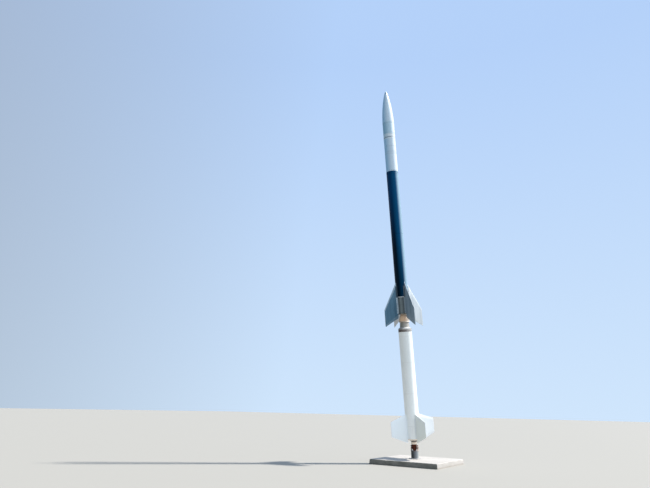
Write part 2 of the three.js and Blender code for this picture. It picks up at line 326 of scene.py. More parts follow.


# Bare weathered sheet: brushed grain, long streaks along the rocket (stains on the fins, painted
# reflections on the tail can), a faint oxide and lighter edges.
# "face" is the azimuth of the side whose tone is its own: painted light on a fin that the sun reaches and
# painted shade on one that lies in shade. The other side has the hidden tones.
def bareFinish(name, slot, light, dark, oxide, edge, seam, cloudy, metallic, gloss, streakStretch,
               streakSpan=(0.38, 0.62), face=None, hidden=()):
    tree, even = startFinish(name, slot)
    brushed = noiseField(stretch(even, (150, 150, 3.5)), 1.2, 5, 0.6)
    stainsAndReflections = remap(noiseField(stretch(even, streakStretch), 1.2, 5, 0.55), *streakSpan)
    cloud = noiseField(even, 2.6, 5, 0.55, 0.4)
    tone = layered(
        dark, (stainsAndReflections, light), (remap(brushed, 0.35, 0.65, 0, 0.3), oxide),
        (remap(cloud, 0.45, 0.7, 0, cloudy), oxide),
    )
    if hidden:
        plain = layered(hidden[0], (stainsAndReflections, hidden[1]))
        tone = layered(plain, (facing(tree, face, 0.2, 0.8), tone))
    scratches = noiseField(stretch(even, (260, 260, 9)), 1.0, 3, 0.6)
    tone = layered(
        tone, (remap(scratches, 0.66, 0.72, 0, 0.35), edge), (wornPlaces(tree, even, 0.85), edge),
        (faceMark(tree, "seam", 0.8), seam),
    )
    finishShader(
        tree, {"Base Color": tone, "Metallic": metallic, "Roughness": glossOf(brushed, gloss)},
        plus(brushed, noiseField(even, 4, 2, 0.4)), 0.08, 0.001)


# Rusted steel: scales of dark and orange rust with what is left of old paint.
def rustFinish(name, slot, base, dark, orange, paint, paintColour):
    tree, even = startFinish(name, slot)
    scales = noiseField(even, 26, 8, 0.68, 0.6)
    tone = layered(
        dark, (remap(scales, 0.4, 0.62), base),
        (remap(noiseField(even, 7, 6, 0.6), 0.55, 0.68, 0, 0.65), orange),
        (remap(noiseField(even, 13, 8, 0.7), 0.63, 0.66, 0, paint), paintColour),
    )
    grit = times(noiseField(even, 320, 3, 0.6), 0.4)
    finishShader(tree, {"Base Color": tone, "Roughness": 0.88, "Specular IOR Level": 0.2},
                 plus(scales, grit), 0.5, 0.003)


# Cast concrete: sandy grain, small pores, hairline cracks, and painted shade, streaked along its layers,
# on the sides away from the sun.
def concreteFinish(name, slot, light, second, sandy, stain, soil, pore, paintedShade, paintedShadeSide):
    tree, source = startFinish(name, slot, False)
    broad = noiseField(source, 1.3, 7, 0.62)
    sand = noiseField(source, 150, 4, 0.65)
    aggregate = noiseField(source, 38, 5, 0.6)
    pores = remap(cellField(source, 70), 0.06, 0.16, 1, 0)
    holes = times(pores, remap(noiseField(source, 6, 4, 0.6), 0.56, 0.66))
    wobble = remap(noiseField(source, 7, 7, 0.72), 0.3, 0.7, -0.05, 0.05)
    border = plus(cellField(source, 0.9, "DISTANCE_TO_EDGE"), wobble)
    hair = remap(combine("ABSOLUTE", border, 0), 0, 0.0035, 1, 0)
    cracks = times(hair, remap(broad, 0.55, 0.62, 0, 0.75))
    flaws = combine("MAXIMUM", holes, cracks)
    lowEdge = remap(heightOf(source), 0, 0.06, 0.6, 0)
    layers = noiseField(stretch(source, (3, 3, 9)), 1.5, 7, 0.65)
    # Painted shade on the faces that look away from the sun, streaked along the layers.
    shaded = times(facing(tree, paintedShadeSide, 0.15, 0.75), remap(layers, 0.25, 0.6, 1, 0.66))
    tone = layered(
        light, (remap(broad, 0.35, 0.65), second), (remap(aggregate, 0.4, 0.68, 0, 0.35), sandy),
        (remap(sand, 0.4, 0.7, 0, 0.3), sandy),
        (remap(noiseField(source, 2.3, 8, 0.68, 0.8), 0.54, 0.72, 0, 0.55), stain),
        (times(lowEdge, remap(aggregate, 0.3, 0.6, 0.4, 1)), soil), (shaded, paintedShade), (flaws, pore),
    )
    grain = times(plus(sand, aggregate), 0.4)
    finishShader(tree, {"Base Color": tone, "Roughness": 0.92, "Specular IOR Level": 0.25},
                 combine("SUBTRACT", grain, flaws), 0.5, 0.003)


# Columns: slot; base, second, grime, bare and seam colours; runs, specks, wear, gloss; what only some have.
# "sides" lists painted light and shade: a tone on the faces that look towards an azimuth, lighter where
# sun or a bright reflection falls and darker where shade falls. Its columns: azimuth, from and to how
# far a face looks there, colour, and for one that fades along the rocket the stations and the strengths
# that it fades between. "foot" is a colour that comes in down a span of stations: painted light on the
# booster's white and painted shade on the motor's black. "joints" has the stations and reaches of longer
# runs.
paintLooks = {
    "whitePaint": (
        "white_paint", (0.765, 0.8, 0.775), (0.73, 0.765, 0.745), (0.5, 0.5, 0.44), (0.55, 0.55, 0.53),
        (0.56, 0.56, 0.54), 0.1, 0.35, 0.5, 0.33,
        {
            # Lighter towards the booster's foot: painted light thrown up from the ground.
            "foot": ((0.3, 3.0, (0.93, 0.95, 0.915)),), "joints": ((3.878, 0.9), (0.766, 0.3)),
            "jointRuns": 0.35,
        },
    ),
    "finWhite": (
        "white_paint", (0.87, 0.885, 0.875), (0.84, 0.855, 0.85), (0.56, 0.56, 0.5), (0.88, 0.88, 0.87),
        (0.4, 0.4, 0.38), 0.16, 0.35, 0.35, 0.36,
        {
            "mottle": 0.08,
            # Painted shade on faces looking to -10 and a painted greenish reflection of the ground on faces
            # looking to -126.
            "sides": ((-10, 0.3, 0.8, (0.685, 0.72, 0.73)), (-126, 0.6, 0.95, (0.82, 0.855, 0.79))),
        },
    ),
    # A lighter copy of the fins' white for the booster fin in the body's shadow: painted light.
    "finWhiteLit": (
        "white_paint", (0.855, 0.91, 0.925), (0.825, 0.88, 0.9), (0.58, 0.59, 0.54), (0.92, 0.93, 0.93),
        (0.4, 0.4, 0.38), 0.12, 0.3, 0.35, 0.36, {"mottle": 0.06},
    ),
    # Payload paints, here and in the two below: painted shade, a deeper blue, on faces looking to -150, and
    # painted sunlight, a paler grey, on faces looking to 30.
    "payloadPaint": (
        "payload_paint", (0.47, 0.58, 0.66), (0.43, 0.54, 0.63), (0.27, 0.34, 0.39), (0.66, 0.7, 0.72),
        (0.2, 0.27, 0.32), 0.1, 0.3, 0.5, 0.33, {
            "joints": ((11.62, 0.3), (11.0, 0.4)), "jointRuns": 0.3,
            "sides": ((-150, 0.1, 0.95, (0.18, 0.38, 0.58)), (30, 0.3, 0.75, (0.66, 0.7, 0.72))),
        },
    ),
    "payloadDark": (
        "payload_paint", (0.38, 0.53, 0.63), (0.34, 0.49, 0.59), (0.22, 0.31, 0.35), (0.62, 0.66, 0.68),
        (0.17, 0.25, 0.3), 0.14, 0.3, 0.5, 0.32, {
            "joints": ((11.62, 0.4),), "jointRuns": 0.3,
            "sides": ((-150, 0.1, 0.95, (0.135, 0.31, 0.46)), (30, 0.3, 0.75, (0.64, 0.69, 0.72))),
        },
    ),
    "payloadLight": (
        "payload_paint", (0.6, 0.67, 0.71), (0.54, 0.62, 0.67), (0.3, 0.36, 0.4), (0.72, 0.74, 0.75),
        (0.2, 0.27, 0.32), 0.12, 0.3, 0.5, 0.32,
        {"sides": ((-150, 0.1, 0.95, (0.28, 0.44, 0.57)), (30, 0.3, 0.75, (0.7, 0.73, 0.74)))},
    ),
    "blackPaint": (
        "black_paint", (0.0006, 0.028, 0.093), (0.0005, 0.023, 0.078), (0.012, 0.042, 0.082),
        (0.25, 0.28, 0.3), (0.002, 0.008, 0.016), 0.1, 0.25, 0.4, 0.42, {
            # Darker towards the motor's foot: painted shade, where the gloss reflects less sky.
            "foot": ((6.8, 9.0, (0.0006, 0.0022, 0.007)),), "joints": ((9.7, 0.5),), "jointRuns": 0.2,
            "shine": 0.15, "shineTint": (0.1, 0.58, 1.0), "mottle": 0.05,
            # Painted reflection, a blue sky sheen on faces looking to -36 that fades towards the foot, and a
            # painted highlight, a pale stripe on faces looking to 4.
            "sides": (
                (-36, 0.6, 0.98, (0.003, 0.055, 0.135), 5.5, 7.1, 0.45, 1.0),
                (4, 0.74, 0.98, (0.25, 0.36, 0.44)),
            ),
        },
    ),
    # The clamp ring's paler tone on faces looking to 30 is painted sunlight.
    "clampDark": (
        "payload_paint", (0.15, 0.22, 0.28), (0.12, 0.18, 0.23), (0.09, 0.13, 0.16), (0.4, 0.46, 0.5),
        (0.05, 0.08, 0.1), 0.2, 0.3, 0.5, 0.36, {"sides": ((30, 0.0, 0.55, (0.5, 0.54, 0.57)),)},
    ),
    "bandMetal": (
        "dark_band", (0.215, 0.195, 0.18), (0.175, 0.155, 0.145), (0.09, 0.06, 0.045), (0.5, 0.48, 0.45),
        (0.07, 0.05, 0.04), 0.5, 0.4, 0.7, 0.45, {
            "cloudScale": 6, "mottle": 0.3,
            # Painted shade on faces looking to -150 and painted sunlight on faces looking to 30.
            "sides": ((-150, 0.0, 0.8, (0.055, 0.043, 0.036)), (30, 0.0, 0.6, (0.4, 0.39, 0.37))),
        },
    ),
    "neckPaint": (
        "grey_paint", (0.36, 0.342, 0.295), (0.31, 0.292, 0.25), (0.17, 0.165, 0.14), (0.55, 0.55, 0.54),
        (0.12, 0.11, 0.09), 0.35, 0.4, 0.6, 0.36, {
            "joints": ((4.2, 0.15),), "jointRuns": 0.3, "cloudScale": 4, "mottle": 0.2,
            # Painted shade on faces looking to -150 and painted sunlight on faces looking to 30.
            "sides": ((-150, 0.1, 0.8, (0.145, 0.155, 0.13)), (30, 0.1, 0.7, (0.4, 0.375, 0.335))),
        },
    ),
    "shoulderPaint": (
        "grey_paint", (0.48, 0.48, 0.45), (0.42, 0.42, 0.39), (0.22, 0.2, 0.17), (0.6, 0.6, 0.58),
        (0.14, 0.12, 0.1), 0.4, 0.4, 0.6, 0.36, {
            "cloudScale": 4, "mottle": 0.25,
            # Painted shade on faces looking to -150 and to 36, and a painted highlight on faces looking to
            # -36.
            "sides": (
                (-150, 0.05, 0.7, (0.155, 0.15, 0.14)), (-36, 0.56, 0.94, (0.68, 0.675, 0.65)),
                (36, 0.22, 0.78, (0.27, 0.27, 0.265)),
            ),
        },
    ),
    "creamPaint": (
        "cream_paint", (0.94, 0.81, 0.66), (0.9, 0.76, 0.61), (0.45, 0.29, 0.19), (0.28, 0.13, 0.075),
        (0.2, 0.12, 0.08), 0.15, 0.4, 0.3, 0.5, {"cloudScale": 9, "mottle": 0.08},
    ),
    "lipPaint": (
        "cream_paint", (0.57, 0.48, 0.38), (0.5, 0.42, 0.32), (0.28, 0.22, 0.16), (0.5, 0.43, 0.35),
        (0.2, 0.16, 0.12), 0.3, 0.4, 0.5, 0.42, {
            "cloudScale": 6, "mottle": 0.2,
            # Painted shade on faces looking to -150 and painted sunlight on faces looking to 30.
            "sides": ((-150, 0.2, 0.9, (0.2, 0.16, 0.11)), (30, 0.0, 0.6, (0.72, 0.64, 0.54))),
        },
    ),
    "recessSteel": (
        "dark_recess", (0.21, 0.19, 0.165), (0.17, 0.15, 0.13), (0.14, 0.1, 0.07), (0.22, 0.19, 0.16),
        (0.03, 0.025, 0.02), 0.5, 0.5, 0.6, 0.6, {"mottle": 0.4},
    ),
    "postPaint": (
        "post_paint", (0.15, 0.165, 0.18), (0.17, 0.185, 0.2), (0.13, 0.105, 0.09), (0.23, 0.105, 0.055),
        (0.08, 0.06, 0.05), 0.35, 0.45, 0.6, 0.45, {
            "cloudScale": 7, "mottle": 0.2,
            # Painted shade, near black, on faces looking to -150 and painted sunlight on faces looking to
            # 30.
            "sides": ((-150, -0.15, 0.55, (0.028, 0.032, 0.034)), (30, 0.4, 0.85, (0.23, 0.255, 0.255))),
        },
    ),
    "platePaint": (
        "post_paint", (0.46, 0.455, 0.44), (0.4, 0.395, 0.38), (0.24, 0.18, 0.13), (0.25, 0.13, 0.08),
        (0.1, 0.08, 0.06), 0.2, 0.5, 0.5, 0.55, {"cloudScale": 9, "mottle": 0.35},
    ),
    "earPaint": (
        "ear_paint", (0.4, 0.35, 0.32), (0.34, 0.29, 0.26), (0.27, 0.15, 0.1), (0.26, 0.11, 0.06),
        (0.18, 0.09, 0.06), 0.45, 0.5, 0.75, 0.5, {"cloudScale": 14, "mottle": 0.3},
    ),
    "nozzleTan": (
        "nozzle_tan", (0.52, 0.37, 0.245), (0.46, 0.315, 0.2), (0.32, 0.27, 0.22), (0.62, 0.6, 0.55),
        (0.2, 0.15, 0.1), 0.3, 0.4, 1.0, 0.46, {
            "cloudScale": 5, "mottle": 0.2, "shine": 0.3,
            # Painted light and shade: a lighter tan on faces looking to -85, a darker one to -170, and a
            # greyer, darker tan on the sunlit faces looking to 30.
            "sides": (
                (-85, 0.5, 0.95, (0.64, 0.43, 0.27)), (-170, 0.4, 0.9, (0.36, 0.265, 0.175)),
                (30, 0.1, 0.7, (0.38, 0.33, 0.28)),
            ),
        },
    ),
}
# Columns for the fins: light, dark, oxide and edge colours, and the azimuth of the face they are for.
# They are lit and shaded copies of one bare metal: painted shade on the fin in the body's shadow and
# on the near fin, painted light on the sunlit fin and on the back fin. The shaded fin's light edge
# colour is partly a painted highlight on its bevels and root angle; the near fin's dark one paints a
# shadow along its root angle.
# Columns for other metal: slot, the same colours, seam colour, cloudy, metallic, gloss, streak stretch,
# span.
finMetal = {
    "seam": (0.006, 0.016, 0.032), "cloudy": 0.3, "metallic": 0.25, "gloss": 0.46,
    "streakStretch": (9, 9, 0.5), "hidden": ((0.23, 0.285, 0.32), (0.33, 0.385, 0.42)),
}
finLooks = {
    "finShade": ((0.062, 0.15, 0.22), (0.038, 0.105, 0.16), (0.048, 0.122, 0.18), (0.55, 0.63, 0.67), -36),
    "finMidShade": (
        (0.235, 0.315, 0.375), (0.155, 0.22, 0.27), (0.19, 0.255, 0.305), (0.165, 0.225, 0.275), -126,
    ),
    "finSunlit": ((0.63, 0.66, 0.67), (0.5, 0.54, 0.56), (0.54, 0.58, 0.6), (0.76, 0.78, 0.78), -36),
    "finBackLit": ((0.6, 0.61, 0.6), (0.5, 0.51, 0.51), (0.54, 0.55, 0.55), (0.72, 0.73, 0.73), -126),
}
bareLooks = {
    # The tail can's very dark tone is partly painted shade from the fins round it; its light vertical
    # streaks are painted reflections of the surroundings.
    "canMetal": (
        "bare_metal", (0.175, 0.21, 0.215), (0.014, 0.028, 0.034), (0.06, 0.08, 0.085), (0.45, 0.47, 0.48),
        (0.02, 0.022, 0.02), 0.1, 0.3, 0.42, (15, 15, 0.1), (0.43, 0.6),
    ),
    "brightMetal": (
        "bright_metal", (0.8, 0.82, 0.83), (0.6, 0.63, 0.65), (0.5, 0.52, 0.53), (0.92, 0.92, 0.92),
        (0.2, 0.2, 0.2), 0.3, 0.6, 0.3, (20, 20, 4),
    ),
    "tipMetal": (
        "tip_metal", (0.32, 0.43, 0.52), (0.22, 0.32, 0.4), (0.18, 0.27, 0.34), (0.55, 0.6, 0.63),
        (0.06, 0.08, 0.1), 0.4, 0.35, 0.34, (12, 12, 3),
    ),
    "screwMetal": (
        "bare_metal", (0.42, 0.43, 0.43), (0.26, 0.26, 0.25), (0.2, 0.17, 0.13), (0.62, 0.62, 0.6),
        (0.1, 0.1, 0.1), 0.5, 0.7, 0.42, (30, 30, 30),
    ),
}
# Columns: base, dark and orange rust, then how much paint is left and its colour.
rustLooks = {
    "rustedSteel": ((0.1, 0.024, 0.011), (0.05, 0.013, 0.007), (0.19, 0.052, 0.018), 0.0, (0.5, 0.45, 0.4)),
    "rustedBolt": ((0.13, 0.055, 0.03), (0.06, 0.032, 0.022), (0.24, 0.085, 0.03), 0.5, (0.3, 0.29, 0.28)),
}
concreteLook = {
    "light": (0.5, 0.47, 0.435), "second": (0.44, 0.415, 0.38), "sandy": (0.33, 0.305, 0.275),
    "stain": (0.34, 0.31, 0.27), "soil": (0.19, 0.155, 0.115), "pore": (0.16, 0.145, 0.125),
    "paintedShade": (0.085, 0.09, 0.072), "paintedShadeSide": -118,
}

for name, (*look, more) in paintLooks.items():
    paintFinish(name, *look, **more)
for name, (*look, face) in finLooks.items():
    bareFinish(name, "bare_metal", *look, face=face, **finMetal)
for name, look in bareLooks.items():
    bareFinish(name, *look)
for name, look in rustLooks.items():
    rustFinish(name, "rusty_steel", *look)
concreteFinish("concrete", "concrete", **concreteLook)
print("finishes made:", len(finishes))


# Modelling helpers
roundSteps = 128


# An empty mesh whose faces can carry the two marks that the finishes read.
def startPiece():
    work = bmesh.new()
    addMarks(work)
    return work


def addMarks(work):
    for mark in ("wear", "seam"):
        if mark not in work.faces.layers.float:
            work.faces.layers.float.new(mark)


def markFaces(work, mark, chosen, amount=1.0):
    layer = work.faces.layers.float[mark]
    for face in chosen:
        face[layer] = amount


# A piece turned round the Z axis from a line of (radius, height) points. A closed line gives a ring.
def turnPiece(points, steps=roundSteps, closed=False):
    work = startPiece()
    corners = [work.verts.new((radius, 0, height)) for radius, height in points]
    strip = [work.edges.new(pair) for pair in zip(corners, corners[1:] + corners[:1] * closed)]
    bmesh.ops.spin(work, geom=corners + strip, cent=(0, 0, 0), axis=(0, 0, 1), dvec=(0, 0, 0), angle=tau,
                   steps=steps, use_merge=True, use_duplicate=False)
    bmesh.ops.remove_doubles(work, verts=work.verts, dist=1e-5)
    bmesh.ops.recalc_face_normals(work, faces=work.faces)
    return work


def softenEdges(work, width, segments=2, sharpest=28):
    sharp = [e for e in work.edges if e.is_manifold and e.calc_face_angle() > radians(sharpest)]
    rounded = bmesh.ops.bevel(work, geom=sharp, offset=width, offset_type="OFFSET", segments=segments,
                              profile=0.5, affect="EDGES", clamp_overlap=True, material=-1)
    markFaces(work, "wear", rounded["faces"])


# A length of the rocket's body: its foot, its top, and a side with shallow lines cut round it at stations.
def bodyPiece(radius, foot, top, lines, cut, atFoot=None, atTop=None):
    depth, width = cut
    deep, half = radius - depth, width / 2
    side = [(radius, foot)]
    for station in lines:
        side += [(radius, station - half), (deep, station - half * 0.4)]
        side += [(deep, station + half * 0.4), (radius, station + half)]
    work = turnPiece([*(atFoot or [(0, foot)]), *side, (radius, top), *(atTop or [(0, top)])])
    grooved = []
    for face in work.faces:
        centre = face.calc_center_median()
        inLine = any(abs(centre.z - station) < half for station in lines)
        if inLine and radius * 0.9 < hypot(centre.x, centre.y) < radius - depth * 0.3:
            grooved.append(face)
    markFaces(work, "seam", grooved)
    return work


# Stations of the lines on a body: above its foot, or below its top if negative, and at parts of its length.
def lineStations(foot, top, fromEnds, parts=()):
    stations = [(foot if line > 0 else top) + line for line in fromEnds]
    return sorted(stations + [foot + (top - foot) * part for part in parts])


# A ring round a body, with its inner radius, its shoulder's and its face's.
def trimRing(inner, shoulder, face, foot, top, slope):
    return turnPiece([
        (inner, foot), (shoulder, foot), (face, foot + slope), (face, top - slope), (shoulder, top),
        (inner, top),
    ], closed=True)


def newObject(work, name, material):
    mesh = bpy.data.meshes.new(name)
    work.to_mesh(mesh)
    work.free()
    mesh.materials.append(material)
    return linkNew(name, mesh)


stand, upperMotor, payload, nose = "booster_and_stand", "upper_motor", "payload", "nose"


# Closes a piece: moves it to its place, shades it smooth with crisp corners, ties it to its body and
# hides the CAD node that it replaces.
def finishPiece(work, name, finish, body, node=None, place=toAxis, smooth=32):
    bmesh.ops.transform(work, matrix=place, verts=work.verts)
    material, slot = finishes[finish]
    piece = newObject(work, name, material)
    piece.data.shade_smooth()
    piece.data.set_sharp_from_angle(angle=radians(smooth))
    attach(piece, body)
    if node:
        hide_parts(node)


# A place on a round body: Z looks away from the axis.
def aroundAxis(radius, angle, station):
    return rotated(angle, "Z") @ moved(radius, 0, station) @ rotated(pi / 2, "Y")


def ringOf(count, radius, station, start=0.0):
    return [aroundAxis(radius, start + i * tau / count, station) for i in range(count)]


def lifted(place, height):
    return place @ moved(0, 0, height)


# The end face of a cone that looks along the place's Z.
def outerCap(made, place, sides):
    outward = place.to_3x3() @ Vector((0, 0, 1))
    caps = {f for v in made["verts"] for f in v.link_faces if len(f.verts) == sides}
    return max(caps, key=lambda f: f.calc_center_median().dot(outward))


def addDisc(work, place, radius, height, sides, taper=1.0, sunk=0.002):
    return bmesh.ops.create_cone(work, cap_ends=True, segments=sides, radius1=radius, radius2=radius * taper,
                                 depth=height + sunk, matrix=lifted(place, (height - sunk) / 2))


# Proportions of screw heads: those of a dome, of a washer, of a hexagon's rounded top and of a stud's end.
heads = {
    "domeBody": 0.6, "domeTop": 0.85, "domeSunk": 0.3, "domeInset": 0.35, "washer": 0.22, "washerSides": 20,
    "hexInset": 0.14, "hexTop": 0.12, "stud": 0.55, "studTop": 0.9, "studSunk": 0.2, "studSides": 14,
}


# A domed rivet or screw head on a place whose Z looks out of the surface.
def addDome(work, place, radius, height, sides=8):
    body = height * heads["domeBody"]
    made = addDisc(work, place, radius, body, sides, heads["domeTop"], height * heads["domeSunk"])
    bmesh.ops.inset_individual(work, faces=[outerCap(made, place, sides)],
                               thickness=radius * heads["domeInset"], depth=height - body)


def domeRing(work, size, height, *ring):
    for place in ringOf(*ring):
        addDome(work, place, size, height)


# A hexagon head or nut over a washer, with the stud's end if it has one.
def addHex(work, place, radius, height, washer=1.45, stud=0.0):
    thick = height * heads["washer"]
    addDisc(work, place, radius * washer, thick, heads["washerSides"])
    place = lifted(place, thick)
    made = addDisc(work, place, radius, height, 6)
    bmesh.ops.inset_individual(work, faces=[outerCap(made, place, 6)],
                               thickness=radius * heads["hexInset"], depth=height * heads["hexTop"])
    if stud:
        addDisc(work, lifted(place, height), radius * heads["stud"], stud, heads["studSides"],
                heads["studTop"], height * heads["studSunk"])


# A weld bead round the Z axis, rippled along its length.
def addBead(work, radius, height, size, steps=120, sides=7):
    turns = [i * tau / sides for i in range(sides)]
    ring = turnPiece([(radius + size * cos(t), height + size * sin(t)) for t in turns], steps, True)
    for v in ring.verts:
        angle = atan2(v.co.y, v.co.x)
        swell = 1 + 0.1 * sin(angle * radius / size * 1.6) + 0.12 * noise.noise(v.co * 60)
        centre = Vector((radius * cos(angle), radius * sin(angle), height))
        v.co = centre + (v.co - centre) * swell
    sheet = bpy.data.meshes.new("bead")
    ring.to_mesh(sheet)
    ring.free()
    work.from_mesh(sheet)
    bpy.data.meshes.remove(sheet)


# A merged copy of a CAD node, with its flat faces whole again.
def copyNode(node, place=Matrix()):
    work = bmesh.new()
    work.from_mesh(frame["nodes"][node].data)
    addMarks(work)
    bmesh.ops.remove_doubles(work, verts=work.verts, dist=2e-5)
    bmesh.ops.dissolve_limit(work, angle_limit=radians(1.0), verts=work.verts, edges=work.edges)
    bmesh.ops.transform(work, matrix=place, verts=work.verts)
    return work


# Stand: plinth, base plate, post, cap, ears and pins

plinthValues = {
    "cell": 0.02, "chamfer": 0.012, "roughness": 0.0012, "chipDepth": 0.01, "cornerChip": 0.028,
    "cornerReach": 0.07, "seamLevels": (0.62, 0.3, 0.0),
}


def makePlinth(values):
    low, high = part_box("plinth")
    half = (high.x - low.x) / 2
    flat = half - values["chamfer"]
    work = startPiece()
    cells = round(2 * flat / values["cell"])
    bmesh.ops.create_grid(work, x_segments=cells, y_segments=cells, size=flat, matrix=moved(0, 0, high.z))
    rim = [e for e in work.edges if e.is_boundary]
    inner = flat
    for height in (high.z - values["chamfer"], *(high.z * level for level in values["seamLevels"])):
        made = bmesh.ops.extrude_edge_only(work, edges=rim)["geom"]
        rim = [g for g in made if isinstance(g, bmesh.types.BMEdge)]
        for v in (g for g in made if isinstance(g, bmesh.types.BMVert)):
            v.co = (v.co.x * half / inner, v.co.y * half / inner, height)
        inner = half
    bmesh.ops.edgeloop_fill(work, edges=rim)
    bmesh.ops.recalc_face_normals(work, faces=work.faces)
    for v in work.verts:
        v.co = weatherCorner(v.co.copy(), half, flat, high.z, values)
    finishPiece(work, "concretePlinth", "concrete", stand, "plinth", Matrix(), 40)


# Where a point of the plain slab lies once its rim is chipped and its faces are a little uneven.
def weatherCorner(spot, half, flat, top, values):
    sides = [copysign(1, spot.x), copysign(1, spot.y)]
    reach = [abs(spot.x), abs(spot.y)]
    pulled = [0.0, 0.0]
    dropped = 0.0
    if spot.z > top - values["chamfer"] * 1.5 and max(reach) > flat - 1e-4:
        chip = max(0.0, noise.noise(spot * 9) - 0.12) + 0.4 * max(0.0, noise.noise(spot * 31) - 0.1)
        dropped = values["chipDepth"] * chip * 1.3
        pulled = [values["chipDepth"] * chip if r > flat - 1e-4 else 0.0 for r in reach]
    elif spot.z > top * 0.2:
        dropped = values["roughness"] * (0.5 + 0.5 * noise.noise(spot * 3.1))
        uneven = values["roughness"] * (1 - noise.noise(spot * 7)) / 2
        pulled = [uneven if r > half - 1e-4 else 0.0 for r in reach]
    away = hypot(reach[0] - half, reach[1] - half)
    broken = max(0.0, 1 - away / values["cornerReach"]) * spot.z / top
    corner = values["cornerChip"] * broken * (0.55 + 0.45 * noise.noise(spot * 6))
    x, y = (c - side * (pull + corner) for c, side, pull in zip(spot[:2], sides, pulled))
    return x, y, max(0.0, spot.z - dropped)


makePlinth(plinthValues)

plateValues = {
    "edge": 0.002, "anchorInset": 0.036, "anchor": (0.015, 0.012, 1.5, 0.008), "beadSize": 0.005,
}


def makeBasePlate(values):
    low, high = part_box("base_plate")
    side, thick = high.x - low.x, high.z - low.z
    work = startPiece()
    shape = moved(0, 0, thick / 2) @ Matrix.Diagonal((side, side, thick, 1))
    bmesh.ops.create_cube(work, size=1, matrix=shape)
    softenEdges(work, values["edge"])
    place = moved(standFoot.x, standFoot.y, low.z)
    finishPiece(work, "postBasePlate", "platePaint", stand, "base_plate", place)
    bolts = startPiece()
    reach = side / 2 - values["anchorInset"]
    for i, (x, y) in enumerate(((1, 1), (-1, 1), (-1, -1), (1, -1))):
        addHex(bolts, moved(x * reach, y * reach, thick) @ rotated(0.7 * i, "Z"), *values["anchor"])
    finishPiece(bolts, "anchorBolts", "platePaint", stand, None, place)
    bead = startPiece()
    size = values["beadSize"]
    addBead(bead, postRadius + size * 0.3, thick + size * 0.4, size)
    finishPiece(bead, "postFootWeld", "platePaint", stand, None, place, 60)


makeBasePlate(plateValues)

postValues = {
    "rings": 10, "steps": 96, "dentDepth": 0.0012, "seamWidth": 0.01, "seamHeight": 0.001, "seamAngle": 200,
    "capEdge": 0.003, "capInset": 0.007, "beadSize": 0.005,
}


def makePost(values):
    rings = values["rings"]
    heights = [postLow.z + (postHigh.z - postLow.z) * i / rings for i in range(rings + 1)]
    side = [(postRadius, height) for height in heights]
    work = turnPiece([(0, postLow.z), *side, (0, postHigh.z)], values["steps"])
    seam = radians(values["seamAngle"])
    for v in work.verts:
        if hypot(v.co.x, v.co.y) < postRadius * 0.9:
            continue
        offSeam = remainder(atan2(v.co.y, v.co.x) - seam, tau) * postRadius / values["seamWidth"]
        dent = values["dentDepth"] * max(0, noise.noise(v.co * 8))
        swell = 1 + (values["seamHeight"] * exp(-offSeam ** 2) - dent) / postRadius
        v.co = (v.co.x * swell, v.co.y * swell, v.co.z)
    place = moved(standFoot.x, standFoot.y, 0)
    finishPiece(work, "postTube", "postPaint", stand, "post", place)
    low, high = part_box("post_cap")
    radius = (high.x - low.x) / 2
    cap = turnPiece([(0, low.z), (radius, low.z), (radius, high.z), (0, high.z)], values["steps"])
    softenEdges(cap, values["capEdge"], 3, 50)
    addBead(cap, radius - values["capInset"], low.z - values["beadSize"] * 0.3, values["beadSize"])
    finishPiece(cap, "postCap", "postPaint", stand, "post_cap", place)


makePost(postValues)

clevisValues = {
    "earEdge": 0.0025, "filletSize": 0.008, "headWasher": 1.12, "pinTail": 0.006,
    "heads": (("clevis_pin", "hingePin", 0.028, 0.011), ("locking_bolt", "lockingBolt", 0.018, 0.01)),
}


def makeClevis(values):
    size = values["filletSize"]
    for number in (1, 2):
        node = f"clevis_ear_{number}"
        low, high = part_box(node)
        work = copyNode(node)
        softenEdges(work, values["earEdge"], 2, 40)
        for side in (low.x, high.x):
            seat = moved(side, (low.y + high.y) / 2, low.z + size * 0.15) @ rotated(pi / 4, "Y")
            shape = Matrix.Diagonal((size, high.y - low.y - size, size, 1))
            bmesh.ops.create_cube(work, size=1, matrix=seat @ shape)
        finishPiece(work, f"clevisEar{number}", "earPaint", stand, node, Matrix())
    left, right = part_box("clevis_ear_1")[0].x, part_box("clevis_ear_2")[1].x
    for node, name, headRadius, headHeight in values["heads"]:
        low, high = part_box(node)
        middle = (low + high) / 2
        shaft = (high.z - low.z) / 2 * 0.6
        work = startPiece()
        bmesh.ops.create_cone(work, cap_ends=True, segments=32, radius1=shaft, radius2=shaft,
                              depth=right - left, matrix=moved(*middle) @ rotated(pi / 2, "Y"))
        for side, turn in ((left, -1), (right, 1)):
            outward = rotated(turn * pi / 2, "Y") @ rotated(0.3 * turn, "Z")
            tail = values["pinTail"] if turn > 0 else 0.0
            spot = moved(side, middle.y, middle.z) @ outward
            addHex(work, spot, headRadius, headHeight, values["headWasher"], tail)
        finishPiece(work, name, "rustedBolt", stand, node, Matrix())


makeClevis(clevisValues)
print("stand modelled")

# Foot of the rocket: rusted stub, cream ring, nozzle and its bolts

footValues = {
    "steps": 96, "edge": 0.002, "ringEdge": 0.0016, "ringGroove": 0.003, "ringBolts": 12, "closureBolts": 16,
    "closureRadius": 0.165, "beadSize": 0.005, "rimHeight": 0.018, "ringBolt": (0.006, 0.005),
    "closureBolt": (0.009, 0.009, 1.4), "throat": 0.94, "exitPart": 0.72, "flarePart": 0.9,
    "flareBelow": 0.022, "rimFrom": 0.014,
}


